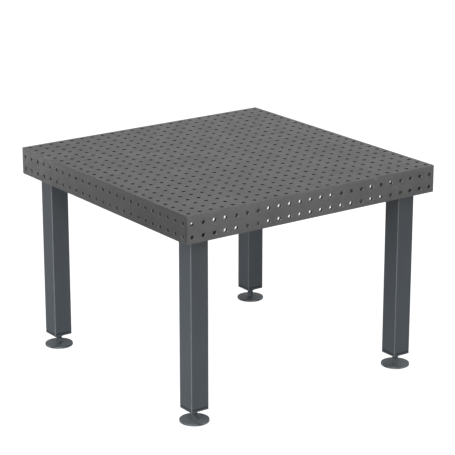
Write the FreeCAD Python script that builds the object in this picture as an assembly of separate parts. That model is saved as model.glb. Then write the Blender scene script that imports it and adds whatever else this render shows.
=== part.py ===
import FreeCAD, Part
import math
import os

from FreeCAD import Vector

# Perforated welding table on four bolted legs with levelling feet.
# Millimetres, +Z up. The origin is on the floor under the middle of the table.
# The front wall faces -Y and the right wall faces +X.

# Table top and its box of side walls
TABLE_SIZE = 1200.0
TABLE_HEIGHT = 860.0
TOP_THICKNESS = 10.0
WALL_HEIGHT = 100.0
WALL_THICKNESS = 12.0
CORNER_ROUND = 4.0
EDGE_ROUND = 1.5

# How far a cutting tool runs past the surface that it cuts
OVERRUN = 1.0

# Clamping holes: one square grid on the top, two rows on every wall
GRID_PITCH = 50.0
GRID_COUNT = 24
HOLE_RADIUS = 8.0
HOLE_CHAMFER = 0.4
WALL_ROWS_BELOW_TOP_PLATE = (25.0, 75.0)

# Crossing ribs under the top
RIB_THICKNESS = 10.0
RIB_OFFSET = 250.0
RIB_SLOT_CLEARANCE = 0.25
RIB_CORNER_RELIEF = 12.0

# Corner plates that the legs are bolted to
CORNER_PLATE_SIZE = 166.0
CORNER_PLATE_THICKNESS = 10.0
STIFFENER_THICKNESS = 10.0
STIFFENER_HEIGHT = 28.0
STIFFENER_LENGTH = 150.0
STIFFENER_FROM_LEG_AXIS = 67.0

# Legs
LEG_TUBE = 80.0
LEG_TUBE_WALL = 4.0
LEG_TUBE_ROUND = 3.0
LEG_TUBE_INNER_ROUND = 1.0
FLANGE_SIZE = 130.0
FLANGE_THICKNESS = 10.0
FLANGE_ROUND = 6.0
END_PLATE_THICKNESS = 10.0
END_PLATE_HEIGHT = 52.0
GROOVE_CHAMFER = 1.5

# Leg bolts, M10, heads inside the box
BOLT_OFFSET = 50.0
BOLT_RADIUS = 5.0
BOLT_HOLE_RADIUS = 5.5
BOLT_LENGTH = 20.0
BOLT_HEAD_FLATS = 16.0
BOLT_HEAD_HEIGHT = 6.4
WASHER_RADIUS = 10.0
WASHER_THICKNESS = 2.0

# Bevel on the corners of nuts and bolt heads: the flat end is a circle of this share of the flats
HEXAGON_END_SHARE = 0.96
HEXAGON_BEVEL_ANGLE = 30.0

# Levelling feet, M24 with 3 mm of travel per turn
SPINDLE_RADIUS = 12.0
RUNNING_GAP = 0.05
SPINDLE_TOP = 134.0
SPINDLE_CHAMFER = 1.5
WRENCH_FLATS = 20.0
WRENCH_FLAT_HEIGHT = 10.0
WRENCH_FLAT_ABOVE_SHOULDER = 1.0
NUT_FLATS = 36.0
LOCK_NUT_HEIGHT = 12.0
WELD_NUT_HEIGHT = 20.0
DISC_RADIUS = 58.5
DISC_THICKNESS = 8.0
DISC_CHAMFER = 0.8
JOURNAL_RADIUS = 8.0
JOURNAL_END = 1.0
JOURNAL_CHAMFER = 0.5
RECESS_RADIUS = 15.0
RECESS_DEPTH = 3.5
RING_THICKNESS = 1.4
RING_RADIUS = 11.5
RING_GAP = 4.0
GROOVE_RADIUS = 7.4
AXIAL_PLAY = 0.1

# Levels and places that follow from the sizes above
HALF = TABLE_SIZE / 2.0
INNER_HALF = HALF - WALL_THICKNESS
TOP_UNDERSIDE = TABLE_HEIGHT - TOP_THICKNESS
BOX_BOTTOM = TOP_UNDERSIDE - WALL_HEIGHT
LEG_AXIS = INNER_HALF - CORNER_PLATE_SIZE / 2.0
PLATE_TOP = BOX_BOTTOM + CORNER_PLATE_THICKNESS
FLANGE_BOTTOM = BOX_BOTTOM - FLANGE_THICKNESS
TUBE_BOTTOM = END_PLATE_HEIGHT + END_PLATE_THICKNESS
GRID_LINES = [GRID_PITCH * (i - (GRID_COUNT - 1) / 2.0) for i in range(GRID_COUNT)]

UP = Vector(0, 0, 1)
CORNERS = {
    "front_left": (-1, -1),
    "front_right": (1, -1),
    "rear_left": (-1, 1),
    "rear_right": (1, 1),
}
TURN_FROM_FRONT = {"front": 0.0, "right": 90.0, "rear": 180.0, "left": 270.0}


def save(shape, node):
    """Write one node as its own STEP file."""
    shape.exportStep(os.path.join("parts", node + ".step"))


def box(x_range, y_range, z_range):
    """An upright box between two corners."""
    size = [high - low for low, high in (x_range, y_range, z_range)]
    return Part.makeBox(*size, Vector(x_range[0], y_range[0], z_range[0]))


def cylinder(radius, z_low, z_high):
    """An upright cylinder on the Z axis."""
    return Part.makeCylinder(radius, z_high - z_low, Vector(0, 0, z_low), UP)


def turned(outline):
    """A turned solid from (radius, height) points that run from the axis back to the axis."""
    points = [Vector(radius, 0, height) for radius, height in outline]
    wire = Part.makePolygon(points + points[:1])
    return Part.Face(wire).revolve(Vector(0, 0, 0), UP, 360)


def rounded_square(size, corner, z_low, z_high):
    """A square prism on the Z axis with rounded upright edges."""
    half = size / 2.0
    prism = box((-half, half), (-half, half), (z_low, z_high))
    return prism.makeFillet(corner, upright_edges(prism))


def upright_edges(shape):
    """Edges of a shape that run straight up."""
    return [e for e in shape.Edges if abs(e.tangentAt(e.FirstParameter).z) > 0.999]


def edges_at_height(shape, height):
    """Edges of a shape that lie in one level plane."""
    return [e for e in shape.Edges
            if abs(e.BoundBox.ZMin - height) < 1e-6 and abs(e.BoundBox.ZMax - height) < 1e-6]


def hexagon(flats, z_low, z_high):
    """A hexagonal prism on the Z axis, given across its flats."""
    corner = flats / math.sqrt(3.0)
    points = [Vector(corner * math.cos(math.radians(60 * i)),
                     corner * math.sin(math.radians(60 * i)), z_low) for i in range(7)]
    return Part.Face(Part.makePolygon(points)).extrude(Vector(0, 0, z_high - z_low))


def bevelled_hexagon(flats, z_low, z_high, bevel_both_ends):
    """A hexagonal prism with its corners turned off at the top, and at the bottom if asked."""
    outside = flats / math.sqrt(3.0) + OVERRUN
    end = flats / 2.0 * HEXAGON_END_SHARE
    drop = (outside - end) * math.tan(math.radians(HEXAGON_BEVEL_ANGLE))
    low_end = [(end, z_low), (outside, z_low + drop)] if bevel_both_ends else [(outside, z_low)]
    outline = [(0, z_low)] + low_end + [(outside, z_high - drop), (end, z_high), (0, z_high)]
    return hexagon(flats, z_low, z_high).common(turned(outline))


def nut(flats, bore, z_low, z_high):
    """A hexagonal nut on the Z axis."""
    return bevelled_hexagon(flats, z_low, z_high, True).cut(cylinder(bore, z_low, z_high))


def perforated(blank, centres, thickness):
    """A flat blank whose outer face is at z = 0, with chamfered round holes through it."""
    below = -thickness - OVERRUN
    hole = turned([(0, below), (HOLE_RADIUS, below), (HOLE_RADIUS, -HOLE_CHAMFER),
                   (HOLE_RADIUS + HOLE_CHAMFER + OVERRUN, OVERRUN), (0, OVERRUN)])
    holes = []
    for x, y in centres:
        copy = hole.copy()
        copy.translate(Vector(x, y, 0))
        holes.append(copy)
    return blank.cut(holes).Solids[0]


def top_plate():
    """The working surface with its square grid of clamping holes."""
    blank = rounded_square(TABLE_SIZE, CORNER_ROUND, -TOP_THICKNESS, 0)
    blank = blank.makeFillet(EDGE_ROUND, edges_at_height(blank, 0))
    plate = perforated(blank, [(x, y) for x in GRID_LINES for y in GRID_LINES], TOP_THICKNESS)
    plate.translate(Vector(0, 0, TABLE_HEIGHT))
    return plate


def side_wall(side):
    """One perforated wall; the front and rear walls cover the ends of the other two."""
    covers_ends = side in ("front", "rear")
    half = HALF if covers_ends else INNER_HALF
    blank = box((-half, half), (0, WALL_HEIGHT), (-WALL_THICKNESS, 0))
    if covers_ends:
        ends = [e for e in edges_at_height(blank, 0) if e.BoundBox.XLength < 1.0]
        blank = blank.makeFillet(CORNER_ROUND, ends)
    rows = [WALL_HEIGHT - depth for depth in WALL_ROWS_BELOW_TOP_PLATE]
    wall = perforated(blank, [(x, y) for x in GRID_LINES for y in rows], WALL_THICKNESS)
    wall.rotate(Vector(0, 0, 0), Vector(1, 0, 0), 90)
    wall.translate(Vector(0, -HALF, BOX_BOTTOM))
    wall.rotate(Vector(0, 0, 0), UP, TURN_FROM_FRONT[side])
    return wall


def rib(slots_open_upwards):
    """A rib along X through the middle of the box, half lapped where two other ribs cross it."""
    relief = RIB_CORNER_RELIEF
    points = [(-INNER_HALF, BOX_BOTTOM), (INNER_HALF, BOX_BOTTOM),
              (INNER_HALF, TOP_UNDERSIDE - relief), (INNER_HALF - relief, TOP_UNDERSIDE),
              (relief - INNER_HALF, TOP_UNDERSIDE), (-INNER_HALF, TOP_UNDERSIDE - relief)]
    outline = [Vector(x, -RIB_THICKNESS / 2.0, z) for x, z in points]
    plate = Part.Face(Part.makePolygon(outline + outline[:1])).extrude(Vector(0, RIB_THICKNESS, 0))
    middle = BOX_BOTTOM + WALL_HEIGHT / 2.0
    heights = (middle, TOP_UNDERSIDE) if slots_open_upwards else (BOX_BOTTOM, middle)
    reach = RIB_THICKNESS / 2.0 + RIB_SLOT_CLEARANCE
    for centre in (-RIB_OFFSET, RIB_OFFSET):
        plate = plate.cut(box((centre - reach, centre + reach), (-RIB_THICKNESS, RIB_THICKNESS), heights))
    return plate


def ribs():
    """Two ribs along X and two along Y, by node name."""
    made = {}
    for name, offset in (("front", -RIB_OFFSET), ("rear", RIB_OFFSET)):
        made["cross_rib_" + name] = rib(False)
        made["cross_rib_" + name].translate(Vector(0, offset, 0))
    for name, offset in (("left", -RIB_OFFSET), ("right", RIB_OFFSET)):
        made["long_rib_" + name] = rib(True)
        made["long_rib_" + name].rotate(Vector(0, 0, 0), UP, 90)
        made["long_rib_" + name].translate(Vector(offset, 0, 0))
    return made


def bolt_places():
    """The four bolt positions around a leg's axis."""
    return [Vector(x, y, 0) for x in (-BOLT_OFFSET, BOLT_OFFSET) for y in (-BOLT_OFFSET, BOLT_OFFSET)]


def drilled(plate, radius, z_low, z_high):
    """A plate with the leg's four bolt holes through it."""
    for place in bolt_places():
        drill = cylinder(radius, z_low, z_high)
        drill.translate(place)
        plate = plate.cut(drill)
    return plate


def corner_plate():
    """The plate that closes a corner of the box, around a leg's axis."""
    half = CORNER_PLATE_SIZE / 2.0
    plate = box((-half, half), (-half, half), (BOX_BOTTOM, PLATE_TOP))
    return drilled(plate, BOLT_HOLE_RADIUS, BOX_BOTTOM, PLATE_TOP)


def corner_stiffener():
    """The flat bar that stands on a corner plate; +X is towards the middle, -Y is the wall."""
    near = STIFFENER_FROM_LEG_AXIS - STIFFENER_THICKNESS / 2.0
    start = -CORNER_PLATE_SIZE / 2.0
    return box((near, near + STIFFENER_THICKNESS), (start, start + STIFFENER_LENGTH),
               (PLATE_TOP, PLATE_TOP + STIFFENER_HEIGHT))


def leg_flange():
    """The leg's top flange with four tapped holes."""
    flange = rounded_square(FLANGE_SIZE, FLANGE_ROUND, FLANGE_BOTTOM, BOX_BOTTOM)
    return drilled(flange, BOLT_RADIUS, FLANGE_BOTTOM, BOX_BOTTOM)


def leg_tube():
    """The square tube, its lower rim chamfered for the joint with the end plate."""
    outer = rounded_square(LEG_TUBE, LEG_TUBE_ROUND, TUBE_BOTTOM, FLANGE_BOTTOM)
    outer = outer.makeChamfer(GROOVE_CHAMFER, edges_at_height(outer, TUBE_BOTTOM))
    inner_size = LEG_TUBE - 2.0 * LEG_TUBE_WALL
    return outer.cut(rounded_square(inner_size, LEG_TUBE_INNER_ROUND, TUBE_BOTTOM, FLANGE_BOTTOM))


def leg_end_plate():
    """The plate that closes the tube's lower end and carries the spindle's thread."""
    plate = rounded_square(LEG_TUBE, LEG_TUBE_ROUND, END_PLATE_HEIGHT, TUBE_BOTTOM)
    plate = plate.makeChamfer(GROOVE_CHAMFER, edges_at_height(plate, TUBE_BOTTOM))
    return plate.cut(cylinder(SPINDLE_RADIUS + RUNNING_GAP, END_PLATE_HEIGHT, TUBE_BOTTOM))


def weld_nut():
    """The tall nut welded on top of the end plate, inside the tube."""
    return nut(NUT_FLATS, SPINDLE_RADIUS + RUNNING_GAP, TUBE_BOTTOM, TUBE_BOTTOM + WELD_NUT_HEIGHT)


def lock_nut():
    """The thin nut that jams the spindle from below the end plate."""
    return nut(NUT_FLATS, SPINDLE_RADIUS + RUNNING_GAP,
               END_PLATE_HEIGHT - LOCK_NUT_HEIGHT, END_PLATE_HEIGHT)


def spindle():
    """The threaded spindle: wrench flats above the disc, and a grooved journal inside it."""
    shoulder = DISC_THICKNESS + AXIAL_PLAY / 2.0
    ring_low, ring_high = ring_heights()
    body = turned([
        (0, JOURNAL_END), (JOURNAL_RADIUS - JOURNAL_CHAMFER, JOURNAL_END),
        (JOURNAL_RADIUS, JOURNAL_END + JOURNAL_CHAMFER),
        (JOURNAL_RADIUS, ring_low), (GROOVE_RADIUS, ring_low),
        (GROOVE_RADIUS, ring_high), (JOURNAL_RADIUS, ring_high),
        (JOURNAL_RADIUS, shoulder), (SPINDLE_RADIUS, shoulder),
        (SPINDLE_RADIUS, SPINDLE_TOP - SPINDLE_CHAMFER),
        (SPINDLE_RADIUS - SPINDLE_CHAMFER, SPINDLE_TOP), (0, SPINDLE_TOP)])
    flat_low = shoulder + WRENCH_FLAT_ABOVE_SHOULDER
    for side in (-1, 1):
        near, far = sorted((side * WRENCH_FLATS / 2.0, side * (SPINDLE_RADIUS + OVERRUN)))
        body = body.cut(box((-SPINDLE_RADIUS, SPINDLE_RADIUS), (near, far),
                            (flat_low, flat_low + WRENCH_FLAT_HEIGHT)))
    return body


def ring_heights():
    """Bottom and top of the retaining ring, just under the floor of the disc's land."""
    ring_high = RECESS_DEPTH - AXIAL_PLAY
    return ring_high - RING_THICKNESS, ring_high


def retaining_ring():
    """The split ring that keeps the spindle in the disc."""
    low, high = ring_heights()
    ring = cylinder(RING_RADIUS, low, high).cut(cylinder(GROOVE_RADIUS + RUNNING_GAP, low, high))
    return ring.cut(box((-RING_GAP / 2.0, RING_GAP / 2.0), (0, RING_RADIUS + OVERRUN), (low, high)))


def foot_disc():
    """The round foot, bored for the journal and recessed underneath for the ring."""
    rim = DISC_RADIUS - DISC_CHAMFER
    disc = turned([(0, 0), (rim, 0), (DISC_RADIUS, DISC_CHAMFER),
                   (DISC_RADIUS, DISC_THICKNESS - DISC_CHAMFER), (rim, DISC_THICKNESS),
                   (0, DISC_THICKNESS)])
    disc = disc.cut(cylinder(JOURNAL_RADIUS + RUNNING_GAP, 0, DISC_THICKNESS))
    return disc.cut(cylinder(RECESS_RADIUS, 0, RECESS_DEPTH))


def leg_bolt():
    """One hexagon-head bolt, standing on its washer on the Z axis."""
    seat = PLATE_TOP + WASHER_THICKNESS
    head = bevelled_hexagon(BOLT_HEAD_FLATS, seat, seat + BOLT_HEAD_HEIGHT, False)
    return head.fuse(cylinder(BOLT_RADIUS, seat - BOLT_LENGTH, seat)).removeSplitter()


def leg_washer():
    """One washer under a leg bolt's head."""
    heights = (PLATE_TOP, PLATE_TOP + WASHER_THICKNESS)
    return cylinder(WASHER_RADIUS, *heights).cut(cylinder(BOLT_HOLE_RADIUS, *heights))


def at_leg(shape, corner):
    """A copy of a shape, moved from the Z axis to a leg's axis."""
    x_sign, y_sign = CORNERS[corner]
    moved = shape.copy()
    moved.translate(Vector(x_sign * LEG_AXIS, y_sign * LEG_AXIS, 0))
    return moved


def mirrored_stiffener(corner):
    """A corner's stiffener, mirrored so that it faces the middle of the table."""
    x_sign, y_sign = CORNERS[corner]
    bar = corner_stiffener()
    if x_sign > 0:
        bar = bar.mirror(Vector(0, 0, 0), Vector(1, 0, 0))
    if y_sign > 0:
        bar = bar.mirror(Vector(0, 0, 0), Vector(0, 1, 0))
    return at_leg(bar, corner)


def at_every_bolt(shape):
    """Copies of a fastener at all the leg bolt positions, as separate solids."""
    copies = []
    for corner in CORNERS:
        for place in bolt_places():
            copy = at_leg(shape, corner)
            copy.translate(place)
            copies.append(copy)
    return Part.makeCompound(copies)


def main():
    os.makedirs("parts", exist_ok=True)
    save(top_plate(), "top_plate")
    for side in TURN_FROM_FRONT:
        save(side_wall(side), "side_wall_" + side)
    for node, shape in ribs().items():
        save(shape, node)
    leg_pieces = {
        "corner_plate": corner_plate(),
        "leg_flange": leg_flange(),
        "leg_tube": leg_tube(),
        "leg_end_plate": leg_end_plate(),
        "weld_nut": weld_nut(),
        "lock_nut": lock_nut(),
        "foot_spindle": spindle(),
        "retaining_ring": retaining_ring(),
        "foot_disc": foot_disc(),
    }
    for corner in CORNERS:
        for piece, shape in leg_pieces.items():
            save(at_leg(shape, corner), piece + "_" + corner)
        save(mirrored_stiffener(corner), "corner_stiffener_" + corner)
    save(at_every_bolt(leg_bolt()), "leg_bolts")
    save(at_every_bolt(leg_washer()), "leg_washers")


main()
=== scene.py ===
import math
import random

import bpy
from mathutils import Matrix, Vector


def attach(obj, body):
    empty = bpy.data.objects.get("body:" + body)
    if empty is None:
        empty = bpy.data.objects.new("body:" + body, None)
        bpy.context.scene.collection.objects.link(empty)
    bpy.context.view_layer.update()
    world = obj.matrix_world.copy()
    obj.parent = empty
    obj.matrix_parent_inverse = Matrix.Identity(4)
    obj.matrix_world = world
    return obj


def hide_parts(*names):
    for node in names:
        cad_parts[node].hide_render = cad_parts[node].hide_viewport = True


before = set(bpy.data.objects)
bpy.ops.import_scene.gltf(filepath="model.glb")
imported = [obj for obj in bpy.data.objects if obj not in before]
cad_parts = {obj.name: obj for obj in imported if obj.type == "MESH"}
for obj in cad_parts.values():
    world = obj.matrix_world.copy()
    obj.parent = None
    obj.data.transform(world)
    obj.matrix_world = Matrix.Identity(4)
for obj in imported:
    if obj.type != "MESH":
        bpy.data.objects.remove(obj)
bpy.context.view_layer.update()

# Lengths in the geometry part are millimetres and are turned into metres by MM.
MM = 0.001
CORNERS = {
    "front_left": (-1, -1),
    "front_right": (1, -1),
    "rear_left": (-1, 1),
    "rear_right": (1, 1),
}

# Table box
HALF = 600.0
TABLE_HEIGHT = 860.0
TOP_UNDERSIDE = 850.0
WALL_THICKNESS = 12.0
INNER_HALF = HALF - WALL_THICKNESS
RIB_OFFSET = 250.0
RIB_HALF = 5.0
HOLE_PITCH = 50.0
HOLE_RADIUS = 8.0

# Legs and the plates that carry them
LEG_AXIS = 505.0
PLATE_TOP = 760.0
PLATE_HALF = 83.0
STIFFENER_OFFSET = 67.0
STIFFENER_HALF = 5.0
STIFFENER_LENGTH = 150.0
FLANGE_BOTTOM = 740.0
TUBE_HALF = 40.0
TUBE_ROUND = 3.0
END_PLATE_TOP = 62.0
BOLT_OFFSET = 50.0
BOLT_TIP = FLANGE_BOTTOM + 2.0
BOLT_SEAT = PLATE_TOP + 2.0
BOLT_HEAD_TOP = 768.4
WASHER_INNER = 5.5
WASHER_OUTER = 10.0

# Welds
WELD_LEG = 5.0
THIN_WELD_LEG = 4.0
WELD_SINK = 0.2
ROOT_SINK = 0.3
WELD_SHARP_ANGLE = 60.0
RIB_WELD_LOW = 757.0
RIB_WELD_HIGH = 832.0
CORNER_WELD_LOW = 765.0
CORNER_WELD_HIGH = 845.0
# Middles and half lengths of the stitch welds along the ribs and the walls
RIB_STITCHES = (-500, -375, -125, 0, 125, 375, 500)
RIB_STITCH_HALF = 30
WALL_STITCHES = (-400, -330, -170, -60, 60, 170, 330, 400)
WALL_STITCH_HALF = 25
UP = (0, 0, 1)
DOWN = (0, 0, -1)
# First seeds of the welds' ripples
RIB_WELD_SEED = 1
WALL_WELD_SEED = 501
PLATE_WELD_SEED = 901
LEG_WELD_SEED = 1300

# Levelling feet
DISC_RADIUS = 58.5
DISC_THICKNESS = 8.0
DISC_BORE = 8.05
RECESS_RADIUS = 15.0
RECESS_DEPTH = 3.5
SPINDLE_RADIUS = 12.0
THREAD_PITCH = 3.0
THREAD_DEPTH = 1.75
# One turn of thread as (share of the pitch, share of the depth), and the turns over which it fades
THREAD_SECTION = ((0.0, 0.0), (0.125, 0.0), (0.4375, 1.0), (0.6875, 1.0))
THREAD_RUNOUT = 1.5
SPINDLE_TOP = 134.0
JOURNAL_RADIUS = 8.0
COLLAR_BOTTOM = DISC_THICKNESS + 0.05
GROOVE_RADIUS = 7.4
GROOVE_LOW = 2.0
GROOVE_HIGH = 3.4
RING_INNER = 7.45
RING_OUTER = 11.5
RING_GAP = 4.0
WRENCH_FLATS = 20.0
FLATS_LOW = COLLAR_BOTTOM + 1.0
FLATS_HIGH = FLATS_LOW + 10.0
LOCK_NUT_LOW = 40.0
LOCK_NUT_HIGH = 52.0
NUT_FLATS = 36.0

# Finishes
STEEL = (0.181, 0.181, 0.182)
PAINT = (0.066, 0.0775, 0.089)
# Painted highlight laid on the legs' rounded upright tube edges
EDGE_HIGHLIGHT_PAINT = (0.176, 0.185, 0.193)
# Heights in metres over which painted shade under the table top darkens the legs towards the top
LEG_SHADE_LOW = 0.20
LEG_SHADE_HIGH = 0.75
FOOT = (0.090, 0.103, 0.113)
PLAIN = (0.30, 0.30, 0.31)
ZINC_BLUE = (0.50, 0.52, 0.56)
ZINC_YELLOW = (0.56, 0.55, 0.52)
WELD = (0.115, 0.108, 0.104)
# Finish of the clamping holes: tones are shares of the steel's own colour; bore tones paint shade into the
# bores and lip tones paint highlights on the chamfers, set for each plane
TOP_HOLES = {"plane": "XY", "bore_shade_tone": 0.7, "bore_metallic": 1.0, "lip_highlight_tone": 1.3}
FRONT_HOLES = {"plane": "XZ", "bore_shade_tone": 0.9, "bore_metallic": 0.5, "lip_highlight_tone": 2.5}
SIDE_HOLES = {"plane": "YZ", "bore_shade_tone": 0.5, "bore_metallic": 0.1, "lip_highlight_tone": 4.5}

# Camera: place in metres, angles in degrees, lens and sensor in millimetres
CAMERA_PLACE = Vector((-4.2772, -5.9732, 2.8543))
CAMERA_AZIMUTH = -35.697
CAMERA_ELEVATION = 17.372
CAMERA_LENS = 148.18
SENSOR_WIDTH = 36.0

# Studio: soft lights as (place, aim, width, height, watts), in metres. The floor lies just
# below the discs at the end of their travel, so that they stay in sight when screwed down.
FLOOR_LEVEL = -0.049
FLOOR_GAP = 0.002
STAGE_HALF = 30.0
BACKDROP_HEIGHT = 30.0
WORLD_STRENGTH = 0.35
SEEN_FLOOR_ALBEDO = 0.35
SEEN_FLOOR_GLOW = 0.88
FLOOR_ALBEDO = 0.27
FLOOR_GLOW = 0.083
# The light that would glare in the top, seen from the right, is kept out of reflections
UNREFLECTED_LIGHT = "left"
LIGHTS = {
    "overhead": ((0.0, 0.0, 4.0), (0.0, 0.0, 0.8), 3.0, 3.0, 29.0),
    "rear_left_low": ((-2.6, 4.2, 0.8), (-0.6, 0.6, 0.8), 1.6, 1.3, 34.0),
    "left": ((-3.5, 0.0, 1.6), (0.0, 0.0, 0.6), 1.5, 1.5, 65.0),
    "front_left_strip": ((-2.9, -4.1, 1.2), (-0.5, -0.5, 0.5), 0.5, 2.2, 31.0),
    "front_low": ((0.6, -4.0, 0.9), (0.0, -0.5, 0.6), 2.0, 1.4, 14.0),
    "front_right": ((3.4, -3.8, 1.6), (0.0, -0.4, 0.6), 2.0, 2.0, 14.0),
    "right": ((4.0, 0.5, 2.0), (0.0, 0.0, 0.7), 2.0, 2.0, 31.0),
    "front_right_low": ((2.4, -4.6, 0.6), (0.3, -0.6, 0.8), 2.2, 1.0, 18.0),
    "rear_right_wide": ((4.6, 6.2, 2.6), (0.0, 0.0, 0.8), 5.0, 2.5, 17.0),
    "front_left_high": ((-3.4, -4.6, 4.2), (0.0, 0.0, 0.6), 2.0, 2.0, 131.0),
}


# ---------------------------------------------------------------- meshes

def add_piece(name, vertices, faces, material, slot, body, replaced=(), sharp_angle=25.0):
    """Make a mesh piece from millimetre points; it rides on a body and may stand for CAD nodes."""
    mesh = bpy.data.meshes.new(name)
    mesh.from_pydata([(x * MM, y * MM, z * MM) for x, y, z in vertices], [], faces)
    mesh.validate()
    mesh.shade_smooth()
    mesh.set_sharp_from_angle(angle=math.radians(sharp_angle))
    mesh.materials.append(material)
    piece = bpy.data.objects.new(name, mesh)
    bpy.context.scene.collection.objects.link(piece)
    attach(piece, body)
    if replaced:
        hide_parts(*replaced)
    return piece


def band(low, high, count, steps):
    """Quads between two rings of `count` vertices; `steps` is one less for a band left open."""
    faces = []
    for i in range(steps):
        j = (i + 1) % count
        faces.append((low + i, low + j, high + j, high + i))
    return faces


def join_rings(rings, closed):
    """Vertices and faces from rings of equally many points; a row that isn't closed gets end caps."""
    count = len(rings[0])
    vertices = [point for ring in rings for point in ring]
    faces = []
    for r in range(len(rings) if closed else len(rings) - 1):
        faces += band(r * count, (r + 1) % len(rings) * count, count, count)
    if not closed:
        faces.append(tuple(reversed(range(count))))
        faces.append(tuple(range(len(vertices) - count, len(vertices))))
    return vertices, faces


def merge(parts):
    """One vertex and face list from several."""
    vertices = []
    faces = []
    for part_vertices, part_faces in parts:
        start = len(vertices)
        vertices += part_vertices
        faces += [tuple(start + index for index in face) for face in part_faces]
    return vertices, faces


def moved(part, x, y):
    """A copy of a vertex and face list, moved level in millimetres."""
    vertices, faces = part
    return [(px + x, py + y, z) for px, py, z in vertices], faces


def soften(outline, radius, steps=4):
    """Round every corner of a closed (radius, height) outline with a small arc."""
    result = []
    count = len(outline)
    for i, corner in enumerate(outline):
        corner = Vector(corner)
        before = Vector(outline[i - 1]) - corner
        after = Vector(outline[(i + 1) % count]) - corner
        reach = min(radius, before.length * 0.4, after.length * 0.4)
        start = corner + before.normalized() * reach
        end = corner + after.normalized() * reach
        result.append(tuple(corner + before.normalized() * reach * 1.1))
        for step in range(steps + 1):
            t = step / steps
            point = start * (1 - t) ** 2 + corner * 2 * t * (1 - t) + end * t ** 2
            result.append((point.x, point.y))
        result.append(tuple(corner + after.normalized() * reach * 1.1))
    return result


def lathe(outline, segments=96):
    """A turned ring from a closed (radius, height) outline that stays off the axis."""
    rings = []
    for radius, height in outline:
        ring = []
        for i in range(segments):
            turn = 2 * math.pi * i / segments
            ring.append((radius * math.cos(turn), radius * math.sin(turn), height))
        rings.append(ring)
    return join_rings(rings, True)


def hexagon_radius(turn, flats):
    """Distance from the axis to a hexagon's side, in the direction of an angle."""
    return flats / 2 / math.cos(turn % (math.pi / 3) - math.pi / 6)


def hexagon_rings(flats, end_radius, low, high, bevel_low, segments):
    """Outer rings of a hexagon whose corners are turned off by a 30 degree cone."""
    slope = math.tan(math.radians(30))
    rings = [[], [], [], []]
    for i in range(segments):
        turn = 2 * math.pi * i / segments
        side = hexagon_radius(turn, flats)
        drop = slope * (side - end_radius)
        low_drop = drop if bevel_low else 0.0
        low_radius = end_radius if bevel_low else side - 0.01
        places = [(low_radius, low), (side, low + low_drop), (side, high - drop), (end_radius, high)]
        for ring, (radius, height) in zip(rings, places):
            ring.append((radius * math.cos(turn), radius * math.sin(turn), height))
    return rings


def circle(radius, height, segments):
    """One ring of points on the Z axis."""
    return [(radius * math.cos(2 * math.pi * i / segments),
             radius * math.sin(2 * math.pi * i / segments), height) for i in range(segments)]


def nut_mesh(flats, bore, low, high, segments=96):
    """A bevelled hexagon nut with countersunk bore ends."""
    lead = 1.2
    rings = hexagon_rings(flats, flats / 2 * 0.96, low, high, True, segments)
    rings += [circle(bore + lead, high, segments), circle(bore, high - lead, segments)]
    rings += [circle(bore, low + lead, segments), circle(bore + lead, low, segments)]
    return join_rings(rings, True)


def bolt_mesh(low, seat, head_high, radius=5.0, flats=16.0, segments=48):
    """A hexagon-head bolt with a washer face, a dished head and a chamfered tip."""
    rings = [circle(radius - 0.8, low, segments), circle(radius, low + 0.8, segments),
             circle(radius, seat, segments), circle(flats / 2 * 0.94, seat, segments),
             circle(flats / 2 * 0.94, seat + 0.4, segments)]
    rings += hexagon_rings(flats, flats / 2 * 0.96, seat + 0.4, head_high, False, segments)
    rings += [circle(flats / 2 * 0.80, head_high, segments),
              circle(flats / 2 * 0.74, head_high - 0.4, segments),
              circle(flats / 4, head_high - 0.4, segments)]
    return join_rings(rings, False)


def helix_rows(turns, start, segments):
    """Rows of points that follow the helix, one for each point of the thread's outline in each turn."""
    rows = []
    for turn in range(turns):
        for along, depth in THREAD_SECTION:
            row = []
            for i in range(segments):
                advance = turn + along + i / segments
                fade = min(1.0, advance / THREAD_RUNOUT, (turns + 1 - advance) / THREAD_RUNOUT)
                radius = SPINDLE_RADIUS - THREAD_DEPTH * depth * max(0.0, fade)
                angle = 2 * math.pi * i / segments
                row.append((radius * math.cos(angle), radius * math.sin(angle),
                            start + THREAD_PITCH * advance))
            rows.append(row)
    return rows


def threaded_spindle():
    """The spindle: grooved journal, collar with two wrench flats, and a real 3 mm pitch thread."""
    segments = 48
    half_flat = WRENCH_FLATS / 2
    outline = [(JOURNAL_RADIUS - 0.5, 1.0), (JOURNAL_RADIUS, 1.5), (JOURNAL_RADIUS, GROOVE_LOW),
               (GROOVE_RADIUS, GROOVE_LOW), (GROOVE_RADIUS, GROOVE_HIGH),
               (JOURNAL_RADIUS, GROOVE_HIGH), (JOURNAL_RADIUS, COLLAR_BOTTOM),
               (SPINDLE_RADIUS - 0.4, COLLAR_BOTTOM), (SPINDLE_RADIUS, COLLAR_BOTTOM + 0.4),
               (SPINDLE_RADIUS, FLATS_LOW)]
    rings = [circle(radius, height, segments) for radius, height in outline]
    for height in (FLATS_LOW, FLATS_HIGH):
        ring = circle(SPINDLE_RADIUS, height, segments)
        rings.append([(x, max(-half_flat, min(half_flat, y)), z) for x, y, z in ring])
    rings.append(circle(SPINDLE_RADIUS, FLATS_HIGH, segments))
    thread_low = FLATS_HIGH + 1.5
    rings.append(circle(SPINDLE_RADIUS, thread_low, segments))
    turns = int((SPINDLE_TOP - thread_low) / THREAD_PITCH) - 2
    helix = helix_rows(turns, thread_low + 0.5, segments)
    top_rings = [circle(SPINDLE_RADIUS, SPINDLE_TOP - 1.5, segments),
                 circle(SPINDLE_RADIUS - 1.5, SPINDLE_TOP, segments)]
    return join_helix(rings, helix, top_rings, len(THREAD_SECTION))


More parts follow.
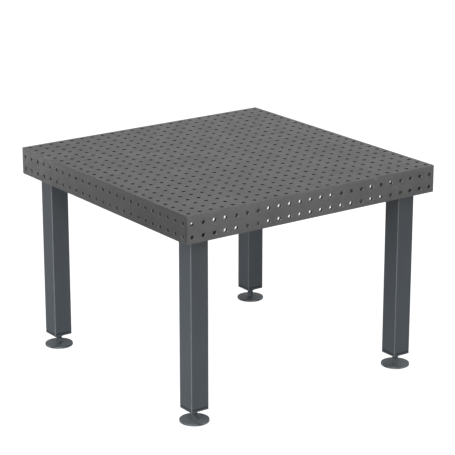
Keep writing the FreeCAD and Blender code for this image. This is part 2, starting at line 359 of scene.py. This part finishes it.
def join_helix(low_rings, helix, top_rings, rows_per_turn):
    """Join plain rings, helical rows that meet themselves one turn higher, and plain rings again."""
    count = len(helix[0])
    vertices = [point for ring in low_rings + helix + top_rings for point in ring]
    faces = [tuple(reversed(range(count)))]
    for r in range(len(low_rings) - 1):
        faces += band(r * count, (r + 1) * count, count, count)
    low = (len(low_rings) - 1) * count
    first = len(low_rings) * count
    faces += band(low, first, count, count - 1)
    seam = [first + row * count for row in range(rows_per_turn, -1, -1)]
    faces.append((low + count - 1, low, *reversed(seam), first + count - 1))
    for row in range(len(helix) - 1):
        base = first + row * count
        faces += band(base, base + count, count, count - 1)
        if row + rows_per_turn + 1 < len(helix):
            above = base + rows_per_turn * count
            faces.append((base + count - 1, above, above + count, base + 2 * count - 1))
    last = first + (len(helix) - 1) * count
    top = last + count
    faces += band(last, top, count, count - 1)
    top_rows = range(len(helix) - rows_per_turn - 1, len(helix))
    lower = [first + row * count + count - 1 for row in top_rows]
    faces.append((lower[0], last, top, top + count - 1, *reversed(lower[1:])))
    for r in range(len(top_rings) - 1):
        faces += band(top + r * count, top + (r + 1) * count, count, count)
    faces.append(tuple(range(len(vertices) - count, len(vertices))))
    return vertices, faces


def split_ring():
    """The retaining ring, open over a small gap, with softened edges."""
    outline = soften([(RING_INNER, GROOVE_LOW), (RING_OUTER, GROOVE_LOW),
                      (RING_OUTER, GROOVE_HIGH), (RING_INNER, GROOVE_HIGH)], 0.25, 2)
    half_gap = math.asin(RING_GAP / 2 / RING_OUTER)
    steps = 72
    sections = []
    for i in range(steps + 1):
        turn = math.pi / 2 + half_gap + (2 * math.pi - 2 * half_gap) * i / steps
        sections.append([(r * math.cos(turn), r * math.sin(turn), z) for r, z in outline])
    return join_rings(sections, False)


def bead_reaches(size):
    """Points of a fillet weld's hollow face, as distances along its two sides."""
    reaches = []
    for k in range(6):
        angle = math.pi / 2 * k / 5
        bulge = 0.62 + 0.38 * (1 - math.sin(2 * angle))
        reaches.append((size * math.cos(angle) * bulge - WELD_SINK,
                        size * math.sin(angle) * bulge - WELD_SINK))
    return reaches


def rippled(leg, i, draw):
    """The size of a weld at its step i, with even ripples and a little chance."""
    return leg * (1.0 + 0.07 * math.cos(math.pi * i) + draw.uniform(-0.05, 0.05))


def bead(start, end, side_a, side_b, leg, seed):
    """A rippled fillet weld from start to end, lying in the corner between two directions."""
    draw = random.Random(seed)
    start = Vector(start)
    end = Vector(end)
    side_a = Vector(side_a)
    side_b = Vector(side_b)
    length = (end - start).length
    along = (end - start).normalized()
    steps = max(6, int(length / 1.6))
    sections = []
    for i in range(steps + 1):
        t = i / steps
        taper = min(1.0, 0.35 + 0.1 * min(t, 1 - t) * length)
        base = start + along * length * t
        section = [base - side_a * ROOT_SINK - side_b * ROOT_SINK]
        for reach_a, reach_b in bead_reaches(rippled(leg, i, draw) * taper):
            section.append(base + side_a * reach_a + side_b * reach_b)
        sections.append([tuple(point) for point in section])
    return join_rings(sections, False)


def weld_loop(half, corner, height, leg, seed):
    """A rippled fillet weld around a rounded square tube, under a level plate."""
    draw = random.Random(seed)
    path = []
    straight = half - corner
    for quarter in range(4):
        turn = math.pi / 2 * quarter
        ahead = Vector((math.cos(turn), math.sin(turn)))
        left = Vector((-ahead.y, ahead.x))
        for k in range(45):
            path.append((ahead * half + left * straight * (2 * k / 45 - 1), ahead))
        for k in range(9):
            angle = math.pi / 2 * k / 9
            normal = ahead * math.cos(angle) + left * math.sin(angle)
            path.append((ahead * straight + left * straight + normal * corner, normal))
    sections = []
    for i, (place, normal) in enumerate(path):
        section = [(place.x - normal.x * ROOT_SINK, place.y - normal.y * ROOT_SINK, height + ROOT_SINK)]
        for out, down in bead_reaches(rippled(leg, i, draw)):
            section.append((place.x + normal.x * out, place.y + normal.y * out, height - down))
        sections.append(section)
    return join_rings(sections, True)


# ---------------------------------------------------------------- materials

class Nodes:
    """Short helpers to build one material's node tree."""

    def __init__(self, name):
        self.material = bpy.data.materials.new(name)
        self.material.use_nodes = True
        self.tree = self.material.node_tree
        self.shader = self.tree.nodes["Principled BSDF"]
        coordinates = self.tree.nodes.new("ShaderNodeTexCoord")
        self.place = coordinates.outputs["Object"]

    def link(self, source, target):
        self.tree.links.new(source, target)

    def math(self, operation, a, b=None):
        made = self.tree.nodes.new("ShaderNodeMath")
        made.operation = operation
        for value, socket in zip((a, b), made.inputs):
            if value is None:
                continue
            if isinstance(value, (int, float)):
                socket.default_value = value
            else:
                self.link(value, socket)
        return made.outputs[0]

    def stretched(self, scale, turn=0.0):
        """Object coordinates, turned about Z and scaled by axis."""
        made = self.tree.nodes.new("ShaderNodeMapping")
        made.inputs["Scale"].default_value = scale
        made.inputs["Rotation"].default_value = (0, 0, math.radians(turn))
        self.link(self.place, made.inputs["Vector"])
        return made.outputs[0]

    def noise(self, scale, detail=2.0, roughness=0.5, vector=None):
        made = self.tree.nodes.new("ShaderNodeTexNoise")
        made.inputs["Scale"].default_value = scale
        made.inputs["Detail"].default_value = detail
        made.inputs["Roughness"].default_value = roughness
        self.link(self.place if vector is None else vector, made.inputs["Vector"])
        return made.outputs["Fac"]

    def span(self, value, low, high, out_low, out_high):
        """Map a value from one span to another, clamped."""
        made = self.tree.nodes.new("ShaderNodeMapRange")
        made.interpolation_type = "SMOOTHSTEP"
        limits = {"From Min": low, "From Max": high, "To Min": out_low, "To Max": out_high}
        for socket, number in limits.items():
            made.inputs[socket].default_value = number
        self.link(value, made.inputs["Value"])
        return made.outputs["Result"]

    def blend(self, factor, a, b):
        """Mix two colours, given as triples or sockets."""
        made = self.tree.nodes.new("ShaderNodeMix")
        made.data_type = "RGBA"
        self.link(factor, made.inputs["Factor"])
        for value, socket in ((a, made.inputs["A"]), (b, made.inputs["B"])):
            if isinstance(value, tuple):
                socket.default_value = (*value, 1)
            else:
                self.link(value, socket)
        return made.outputs["Result"]

    def axes(self):
        """X, Y and Z of the place on the piece."""
        made = self.tree.nodes.new("ShaderNodeSeparateXYZ")
        self.link(self.place, made.inputs[0])
        return {"X": made.outputs[0], "Y": made.outputs[1], "Z": made.outputs[2]}

    def bump(self, height, strength, distance):
        made = self.tree.nodes.new("ShaderNodeBump")
        made.inputs["Strength"].default_value = strength
        made.inputs["Distance"].default_value = distance
        self.link(height, made.inputs["Height"])
        self.link(made.outputs[0], self.shader.inputs["Normal"])

    def finish(self, color, roughness, metallic):
        self.link(color, self.shader.inputs["Base Color"])
        self.link(roughness, self.shader.inputs["Roughness"])
        self.shader.inputs["Metallic"].default_value = metallic
        return self.material


def shade(color, factor):
    return tuple(channel * factor for channel in color)


def diagonal(nodes, offsets):
    """The length whose two components are given."""
    squares = [nodes.math("MULTIPLY", offset, offset) for offset in offsets]
    return nodes.math("SQRT", nodes.math("ADD", *squares))


def hole_distance(nodes, plane):
    """Distance to the nearest clamping hole's axis, for faces that lie in a plane such as XY."""
    axes = nodes.axes()
    offsets = []
    for axis in plane:
        cell = nodes.math("PINGPONG", axes[axis], HOLE_PITCH * MM / 2)
        offsets.append(nodes.math("SUBTRACT", HOLE_PITCH * MM / 2, cell))
    return diagonal(nodes, offsets)


def hole_finish(nodes, color, base, plane, bore_shade_tone, bore_metallic, lip_highlight_tone):
    """Worn rims, painted highlights on the chamfer lips and painted shade in the bores, for the clamping
    holes of one plane.
    """
    radius = HOLE_RADIUS * MM
    distance = hole_distance(nodes, plane)
    breakup = nodes.span(nodes.noise(160.0, 2.0), 0.35, 0.65, 0.6, 1.0)
    rim = nodes.math("MULTIPLY", nodes.span(distance, radius + 0.0006, radius + 0.0032, 1.0, 0.0), breakup)
    color = nodes.blend(nodes.math("MULTIPLY", rim, 0.22), color, shade(base, 1.5))
    # Painted highlight on the chamfer lip of each hole
    lip_highlight = nodes.span(distance, radius + 0.0004, radius + 0.0006, 1.0, 0.0)
    color = nodes.blend(lip_highlight, color, shade(base, lip_highlight_tone))
    # Painted shade in each hole's bore
    bore = nodes.span(distance, radius, radius + 0.0002, 1.0, 0.0)
    metallic = nodes.span(distance, radius, radius + 0.0002, bore_metallic, 1.0)
    nodes.link(metallic, nodes.shader.inputs["Metallic"])
    return nodes.blend(bore, color, shade(base, bore_shade_tone))


def table_steel(name, grain, face_light_tone=1.0, holes=None, rough=(0.32, 0.40), painted_side_shade=0.0):
    """Dark machined steel, brushed along X or Y, in a tone set per face as painted light and shade; the
    side darkening is painted shade on the faces under the top one.
    """
    nodes = Nodes(name)
    base = shade(STEEL, face_light_tone)
    brush = (3.0, 700.0, 700.0) if grain == "X" else (700.0, 3.0, 700.0)
    lines = nodes.noise(1.0, 3.0, 0.6, nodes.stretched(brush))
    clouds = nodes.noise(4.0, 4.0, 0.55)
    smudges = nodes.noise(17.0, 3.0, 0.6)
    color = nodes.blend(nodes.span(clouds, 0.3, 0.7, 0.0, 1.0), shade(base, 0.94), shade(base, 1.06))
    color = nodes.blend(nodes.span(lines, 0.3, 0.75, 0.0, 0.30), color, shade(base, 1.30))
    scratch_a = nodes.noise(1.0, 1.0, 0.4, nodes.stretched((16.0, 900.0, 16.0), 31.0))
    scratch_b = nodes.noise(1.0, 1.0, 0.4, nodes.stretched((950.0, 13.0, 13.0), 64.0))
    scratches = nodes.math("MAXIMUM", nodes.span(scratch_a, 0.74, 0.80, 0.0, 1.0),
                           nodes.span(scratch_b, 0.75, 0.81, 0.0, 1.0))
    color = nodes.blend(nodes.math("MULTIPLY", scratches, 0.35), color, shade(base, 1.7))
    # Painted shade: the sides of the top plate, just under its top face, are darkened
    if painted_side_shade:
        face = TABLE_HEIGHT * MM
        below = nodes.span(nodes.axes()["Z"], face - 0.0012, face - 0.0004, painted_side_shade, 0.0)
        color = nodes.blend(below, color, (0.0, 0.0, 0.0))
    if holes:
        color = hole_finish(nodes, color, base, **holes)
    relief = nodes.math("ADD", lines, nodes.math("MULTIPLY", scratches, -0.5))
    nodes.bump(relief, 0.25, 0.00006)
    return nodes.finish(color, nodes.span(smudges, 0.25, 0.75, *rough), 1.0)


def leg_offsets(nodes):
    """How far a place lies from the axis of the nearest leg, along X and along Y."""
    axes = nodes.axes()
    return [nodes.math("SUBTRACT", nodes.math("ABSOLUTE", axes[axis]), LEG_AXIS * MM) for axis in "XY"]


def tube_edge(nodes):
    """1 on the rounded upright edges of the nearest leg's tube, and 0 on its flat faces."""
    nearer = nodes.math("MINIMUM", *[nodes.math("ABSOLUTE", offset) for offset in leg_offsets(nodes)])
    flat = (TUBE_HALF - TUBE_ROUND) * MM
    return nodes.span(nearer, flat, flat + 0.0008, 0.0, 1.0)


def leg_paint():
    """Satin blue-grey powder coat, with painted shade darkening it towards the table top, painted shade in
    the joint above the end plate and a painted highlight on the tubes' upright edges.
    """
    nodes = Nodes("leg_paint")
    edge_highlight = nodes.math("MULTIPLY", tube_edge(nodes), nodes.span(nodes.noise(35.0, 3.0), 0.3, 0.6, 0.7, 1.0))
    clouds = nodes.noise(5.0, 3.0, 0.5)
    peel = nodes.noise(420.0, 1.0, 0.5)
    specks = nodes.noise(1400.0, 0.0)
    rubbed = nodes.span(nodes.noise(28.0, 5.0, 0.65), 0.68, 0.76, 0.0, 0.25)
    color = nodes.blend(nodes.span(clouds, 0.3, 0.7, 0.0, 1.0), shade(PAINT, 1.03), shade(PAINT, 1.13))
    height = nodes.axes()["Z"]
    # Painted shade: the paint turns darker towards the top of the legs, under the table
    color = nodes.blend(nodes.span(height, LEG_SHADE_LOW, LEG_SHADE_HIGH, 0.0, 1.0), color, shade(PAINT, 0.74))
    color = nodes.blend(nodes.span(specks, 0.6, 0.8, 0.0, 0.25), color, shade(PAINT, 1.4))
    color = nodes.blend(rubbed, color, shade(PAINT, 1.3))
    streaks = nodes.noise(1.0, 2.0, 0.5, nodes.stretched((260.0, 260.0, 1.5)))
    color = nodes.blend(nodes.span(streaks, 0.35, 0.7, 0.0, 0.35), color, shade(PAINT, 0.8))
    # Painted shade: a dark band in the groove between the tube and its end plate
    joint_shade = nodes.math("ABSOLUTE", nodes.math("SUBTRACT", height, END_PLATE_TOP * MM))
    color = nodes.blend(nodes.span(joint_shade, 0.0018, 0.0036, 0.9, 0.0), color, shade(PAINT, 0.3))
    # Painted highlight on the tubes' rounded upright edges
    color = nodes.blend(edge_highlight, color, EDGE_HIGHLIGHT_PAINT)
    rough = nodes.span(peel, 0.3, 0.7, 0.36, 0.46)
    nodes.bump(peel, 0.18, 0.00012)
    return nodes.finish(color, rough, 0.0)


def ring_noise(nodes, rings_per_metre):
    """Fine concentric turning marks around a leg's axis."""
    radius = diagonal(nodes, leg_offsets(nodes))
    made = nodes.tree.nodes.new("ShaderNodeCombineXYZ")
    nodes.link(nodes.math("MULTIPLY", radius, rings_per_metre), made.inputs[0])
    nodes.link(nodes.math("MULTIPLY", nodes.axes()["Z"], rings_per_metre), made.inputs[2])
    return nodes.noise(1.0, 2.0, 0.6, made.outputs[0])


def turned_steel(name, base, metallic, rough_low, rough_high):
    """Turned steel with concentric marks, light clouding, rubbed spots and dark stains; a disc rim darkened
    by painted shade and lit in patches by a painted highlight that also stands for wear.
    """
    nodes = Nodes(name)
    rings = ring_noise(nodes, 900.0)
    clouds = nodes.noise(24.0, 4.0, 0.6)
    rubbed = nodes.span(nodes.noise(90.0, 4.0, 0.6), 0.62, 0.72, 0.0, 0.30)
    color = nodes.blend(nodes.span(clouds, 0.3, 0.7, 0.0, 1.0), shade(base, 0.95), shade(base, 1.28))
    color = nodes.blend(nodes.span(rings, 0.45, 0.75, 0.0, 0.25), color, shade(base, 1.35))
    color = nodes.blend(rubbed, color, shade(base, 1.5))
    stains = nodes.span(nodes.noise(33.0, 3.0, 0.6), 0.50, 0.66, 0.0, 0.55)
    color = nodes.blend(stains, color, shade(base, 0.45))
    distance = diagonal(nodes, leg_offsets(nodes))
    # Painted shade darkens the disc rim
    rim = nodes.span(distance, (DISC_RADIUS - 1.2) * MM, (DISC_RADIUS - 0.4) * MM, 0.0, 1.0)
    color = nodes.blend(rim, color, shade(base, 0.7))
    # Painted highlight in patches on the disc rim, also standing for worn bare edges
    rim = nodes.math("MULTIPLY", rim, nodes.span(nodes.noise(30.0, 3.0), 0.42, 0.58, 0.0, 1.0))
    color = nodes.blend(rim, color, shade(base, 1.8))
    nodes.bump(rings, 0.20, 0.00008)
    return nodes.finish(color, nodes.span(clouds, 0.3, 0.7, rough_low, rough_high), metallic)


def zinc_plate():
    """Bright zinc plate with a faint yellow and blue cast."""
    nodes = Nodes("zinc_steel")
    cast = nodes.noise(70.0, 3.0, 0.6)
    haze = nodes.noise(300.0, 2.0, 0.5)
    color = nodes.blend(nodes.span(cast, 0.35, 0.65, 0.0, 1.0), ZINC_BLUE, ZINC_YELLOW)
    nodes.bump(haze, 0.15, 0.00005)
    return nodes.finish(color, nodes.span(haze, 0.3, 0.7, 0.24, 0.36), 1.0)


def weld_metal(name, base, tinted):
    """Rippled weld metal; bare welds carry a straw and blue heat tint."""
    nodes = Nodes(name)
    spatter = nodes.noise(260.0, 3.0, 0.6)
    tint = nodes.noise(60.0, 2.0, 0.5)
    low = (base[0] * 1.25, base[1] * 1.05, base[2] * 0.8) if tinted else shade(base, 0.94)
    high = (base[0] * 0.8, base[1] * 0.95, base[2] * 1.25) if tinted else shade(base, 1.08)
    color = nodes.blend(nodes.span(tint, 0.35, 0.65, 0.0, 1.0), low, high)
    color = nodes.blend(nodes.span(spatter, 0.55, 0.75, 0.0, 0.5), color, shade(base, 1.6))
    nodes.bump(spatter, 0.3, 0.0002)
    return nodes.finish(color, nodes.span(spatter, 0.3, 0.7, 0.38, 0.58), 0.7 if tinted else 0.0)


# ---------------------------------------------------------------- pieces

def paint_node(names, material):
    for name in names:
        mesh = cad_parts[name].data
        mesh.materials.clear()
        mesh.materials.append(material)


def finish_cad_nodes(steel_xy, walls_x, walls_y, plain_x, plain_y, paint, plain):
    """Give every CAD node that stays visible its finish."""
    paint_node(["top_plate"], steel_xy)
    paint_node(["side_wall_front", "side_wall_rear"], walls_x)
    paint_node(["side_wall_left", "side_wall_right"], walls_y)
    paint_node(["cross_rib_front", "cross_rib_rear"], plain_x)
    paint_node(["long_rib_left", "long_rib_right"], plain_y)
    for corner in CORNERS:
        paint_node([f"corner_plate_{corner}", f"corner_stiffener_{corner}"], plain_x)
        paint_node([f"leg_flange_{corner}", f"leg_tube_{corner}", f"leg_end_plate_{corner}"], paint)
        paint_node([f"weld_nut_{corner}"], plain)


def foot_pieces(foot, plain):
    """The disc, spindle, lock nut and retaining ring of every levelling foot."""
    rim = DISC_RADIUS - 0.8
    outline = [(RECESS_RADIUS, 0.0), (rim, 0.0), (DISC_RADIUS, 0.8), (DISC_RADIUS, DISC_THICKNESS - 0.8),
               (rim, DISC_THICKNESS), (DISC_BORE + 0.5, DISC_THICKNESS),
               (DISC_BORE, DISC_THICKNESS - 0.5), (DISC_BORE, RECESS_DEPTH), (RECESS_RADIUS, RECESS_DEPTH)]
    disc = lathe(soften(outline, 0.35), 144)
    spindle = threaded_spindle()
    nut = nut_mesh(NUT_FLATS, SPINDLE_RADIUS + 0.05, LOCK_NUT_LOW, LOCK_NUT_HIGH)
    ring = split_ring()
    for corner, (sx, sy) in CORNERS.items():
        x = sx * LEG_AXIS
        y = sy * LEG_AXIS
        made = (("disc", disc, foot, "foot_steel", "foot", "foot_disc"),
                ("spindle", spindle, foot, "foot_steel", "spindle", "foot_spindle"),
                ("lock_nut", nut, foot, "foot_steel", "lock_nut", "lock_nut"),
                ("ring", ring, plain, "plain_steel", "spindle", "retaining_ring"))
        for label, mesh, material, slot, body, node in made:
            add_piece(f"fine_{label}_{corner}", *moved(mesh, x, y), material, slot,
                      f"{body}_{corner}", [f"{node}_{corner}"])


def fasteners(zinc):
    """Leg bolts and washers, all heads inside the box."""
    bolt = bolt_mesh(BOLT_TIP, BOLT_SEAT, BOLT_HEAD_TOP)
    outline = [(WASHER_INNER, PLATE_TOP), (WASHER_OUTER, PLATE_TOP),
               (WASHER_OUTER, BOLT_SEAT), (WASHER_INNER, BOLT_SEAT)]
    washer = lathe(soften(outline, 0.35, 3), 64)
    places = [(sx * LEG_AXIS + bx, sy * LEG_AXIS + by) for sx, sy in CORNERS.values()
              for bx in (-BOLT_OFFSET, BOLT_OFFSET) for by in (-BOLT_OFFSET, BOLT_OFFSET)]
    add_piece("fine_bolts", *merge([moved(bolt, x, y) for x, y in places]), zinc, "zinc_steel",
              "table", ["leg_bolts"])
    add_piece("fine_washers", *merge([moved(washer, x, y) for x, y in places]), zinc, "zinc_steel",
              "table", ["leg_washers"])


def rib_welds():
    """Stitch welds from the ribs to the top plate and up the walls."""
    beads = []
    seed = RIB_WELD_SEED
    for offset in (-RIB_OFFSET, RIB_OFFSET):
        for side in (-1, 1):
            face = offset + side * RIB_HALF
            for middle in RIB_STITCHES:
                ends = (middle - RIB_STITCH_HALF, middle + RIB_STITCH_HALF)
                beads.append(bead((ends[0], face, TOP_UNDERSIDE), (ends[1], face, TOP_UNDERSIDE),
                                  (0, side, 0), DOWN, WELD_LEG, seed))
                beads.append(bead((face, ends[0], TOP_UNDERSIDE), (face, ends[1], TOP_UNDERSIDE),
                                  (side, 0, 0), DOWN, WELD_LEG, seed + 1))
                seed += 2
            for end in (-1, 1):
                wall = end * INNER_HALF
                beads.append(bead((wall, face, RIB_WELD_LOW), (wall, face, RIB_WELD_HIGH),
                                  (-end, 0, 0), (0, side, 0), WELD_LEG, seed))
                beads.append(bead((face, wall, RIB_WELD_LOW), (face, wall, RIB_WELD_HIGH),
                                  (0, -end, 0), (side, 0, 0), WELD_LEG, seed + 1))
                seed += 2
    return merge(beads)


def wall_welds():
    """Stitch welds from the walls to the top plate, and full welds up the inner corners."""
    beads = []
    seed = WALL_WELD_SEED
    for end in (-1, 1):
        wall = end * INNER_HALF
        for middle in WALL_STITCHES:
            ends = (middle - WALL_STITCH_HALF, middle + WALL_STITCH_HALF)
            beads.append(bead((ends[0], wall, TOP_UNDERSIDE), (ends[1], wall, TOP_UNDERSIDE),
                              (0, -end, 0), DOWN, WELD_LEG, seed))
            beads.append(bead((wall, ends[0], TOP_UNDERSIDE), (wall, ends[1], TOP_UNDERSIDE),
                              (-end, 0, 0), DOWN, WELD_LEG, seed + 1))
            seed += 2
    for sx, sy in CORNERS.values():
        corner = (sx * INNER_HALF, sy * INNER_HALF)
        beads.append(bead((*corner, CORNER_WELD_LOW), (*corner, CORNER_WELD_HIGH),
                          (-sx, 0, 0), (0, -sy, 0), WELD_LEG, seed))
        seed += 1
    return merge(beads)


def plate_welds():
    """Welds of the corner plates to the walls, seen from above, and of their stiffeners."""
    beads = []
    seed = PLATE_WELD_SEED
    for sx, sy in CORNERS.values():
        wall_x = sx * INNER_HALF
        wall_y = sy * INNER_HALF
        inner_x = sx * (LEG_AXIS - PLATE_HALF)
        inner_y = sy * (LEG_AXIS - PLATE_HALF)
        beads.append(bead((wall_x, wall_y - sy * 8, PLATE_TOP), (wall_x, inner_y, PLATE_TOP),
                          (-sx, 0, 0), UP, WELD_LEG, seed))
        beads.append(bead((wall_x - sx * 8, wall_y, PLATE_TOP), (inner_x, wall_y, PLATE_TOP),
                          (0, -sy, 0), UP, WELD_LEG, seed + 1))
        bar = sx * (LEG_AXIS - STIFFENER_OFFSET)
        for side in (-1, 1):
            face = bar + side * STIFFENER_HALF
            beads.append(bead((face, wall_y - sy * 10, PLATE_TOP),
                              (face, wall_y - sy * (STIFFENER_LENGTH - 5.0), PLATE_TOP),
                              (side, 0, 0), UP, THIN_WELD_LEG, seed + 2 + side))
        seed += 4
    return merge(beads)


def weld_pieces(bare, painted):
    """The welds of the box, and of the legs to their flanges."""
    inside = {"weld_ribs": rib_welds(), "weld_walls": wall_welds(), "weld_corner_plates": plate_welds()}
    for name, mesh in inside.items():
        add_piece(name, *mesh, bare, "table_steel", "table", sharp_angle=WELD_SHARP_ANGLE)
    loops = []
    for i, (sx, sy) in enumerate(CORNERS.values()):
        loop = weld_loop(TUBE_HALF, TUBE_ROUND, FLANGE_BOTTOM, WELD_LEG, LEG_WELD_SEED + i)
        loops.append(moved(loop, sx * LEG_AXIS, sy * LEG_AXIS))
    add_piece("weld_legs", *merge(loops), painted, "leg_paint", "table", sharp_angle=WELD_SHARP_ANGLE)


# ---------------------------------------------------------------- studio

def look_rotation(direction):
    return direction.to_track_quat("-Z", "Y")


def make_camera():
    data = bpy.data.cameras.new("camera")
    data.lens = CAMERA_LENS
    data.sensor_width = SENSOR_WIDTH
    data.clip_end = 80.0
    camera = bpy.data.objects.new("camera", data)
    azimuth = math.radians(CAMERA_AZIMUTH)
    elevation = math.radians(CAMERA_ELEVATION)
    back = Vector((math.sin(azimuth) * math.cos(elevation),
                   -math.cos(azimuth) * math.cos(elevation), math.sin(elevation)))
    camera.location = CAMERA_PLACE
    camera.rotation_mode = "QUATERNION"
    camera.rotation_quaternion = look_rotation(-back)
    bpy.context.scene.collection.objects.link(camera)
    bpy.context.scene.camera = camera


def make_world():
    world = bpy.data.worlds.new("studio")
    world.use_nodes = True
    background = world.node_tree.nodes["Background"]
    background.inputs["Color"].default_value = (1, 1, 1, 1)
    background.inputs["Strength"].default_value = WORLD_STRENGTH
    bpy.context.scene.world = world


def stage_floor(name, height, albedo, glow, backdrop_height=0.0):
    """A large plain floor, which may turn up into a backdrop of the same colour all round."""
    half = STAGE_HALF
    mesh = bpy.data.meshes.new(name)
    square = [(-half, -half), (half, -half), (half, half), (-half, half)]
    vertices = [(x, y, height) for x, y in square]
    faces = [(0, 1, 2, 3)]
    if backdrop_height:
        vertices += [(x, y, backdrop_height) for x, y in square]
        faces += [(i, i + 4, (i + 1) % 4 + 4, (i + 1) % 4) for i in range(4)]
    mesh.from_pydata(vertices, [], faces)
    material = bpy.data.materials.new(name)
    material.use_nodes = True
    shader = material.node_tree.nodes["Principled BSDF"]
    shader.inputs["Base Color"].default_value = (albedo, albedo, albedo, 1)
    shader.inputs["Roughness"].default_value = 1.0
    shader.inputs["Specular IOR Level"].default_value = 0.0
    shader.inputs["Emission Color"].default_value = (1, 1, 1, 1)
    shader.inputs["Emission Strength"].default_value = glow
    mesh.materials.append(material)
    floor = bpy.data.objects.new(name, mesh)
    bpy.context.scene.collection.objects.link(floor)
    return floor


def make_floor():
    """A white floor for the camera to see, over a duller one that bounces light onto the table."""
    seen = stage_floor("floor", FLOOR_LEVEL, SEEN_FLOOR_ALBEDO, SEEN_FLOOR_GLOW, BACKDROP_HEIGHT)
    seen.visible_diffuse = False
    seen.visible_glossy = False
    seen.visible_shadow = False
    bounce = stage_floor("floor_bounce", FLOOR_LEVEL - FLOOR_GAP, FLOOR_ALBEDO, FLOOR_GLOW)
    bounce.visible_camera = False


def make_lights():
    for name, (place, aim, width, height, watts) in LIGHTS.items():
        data = bpy.data.lights.new(name, "AREA")
        data.shape = "RECTANGLE"
        data.size = width
        data.size_y = height
        data.energy = watts
        light = bpy.data.objects.new(name, data)
        light.location = place
        light.rotation_mode = "QUATERNION"
        light.rotation_quaternion = look_rotation(Vector(aim) - Vector(place))
        light.visible_camera = False
        light.visible_glossy = name != UNREFLECTED_LIGHT
        bpy.context.scene.collection.objects.link(light)


bpy.context.scene.view_settings.view_transform = "Standard"
make_camera()
make_world()
make_floor()
make_lights()

foot_steel = turned_steel("foot_steel", FOOT, 0.0, 0.46, 0.60)
plain_steel = turned_steel("plain_steel", PLAIN, 1.0, 0.28, 0.40)
finish_cad_nodes(
    # Tones 1.09, 0.89 and 0.98 are lit and shaded copies of one steel: painted light on the top, painted
    # shade on the front and rear walls and less on the side walls
    table_steel("top_steel", "X", 1.09, TOP_HOLES, rough=(0.38, 0.46), painted_side_shade=0.17),
    table_steel("wall_steel_x", "X", 0.89, FRONT_HOLES),
    table_steel("wall_steel_y", "Y", 0.98, SIDE_HOLES),
    table_steel("inner_steel_x", "X"),
    table_steel("inner_steel_y", "Y"),
    leg_paint(), plain_steel)
foot_pieces(foot_steel, plain_steel)
fasteners(zinc_plate())
weld_pieces(weld_metal("weld_bare", WELD, True), weld_metal("weld_painted", PAINT, False))
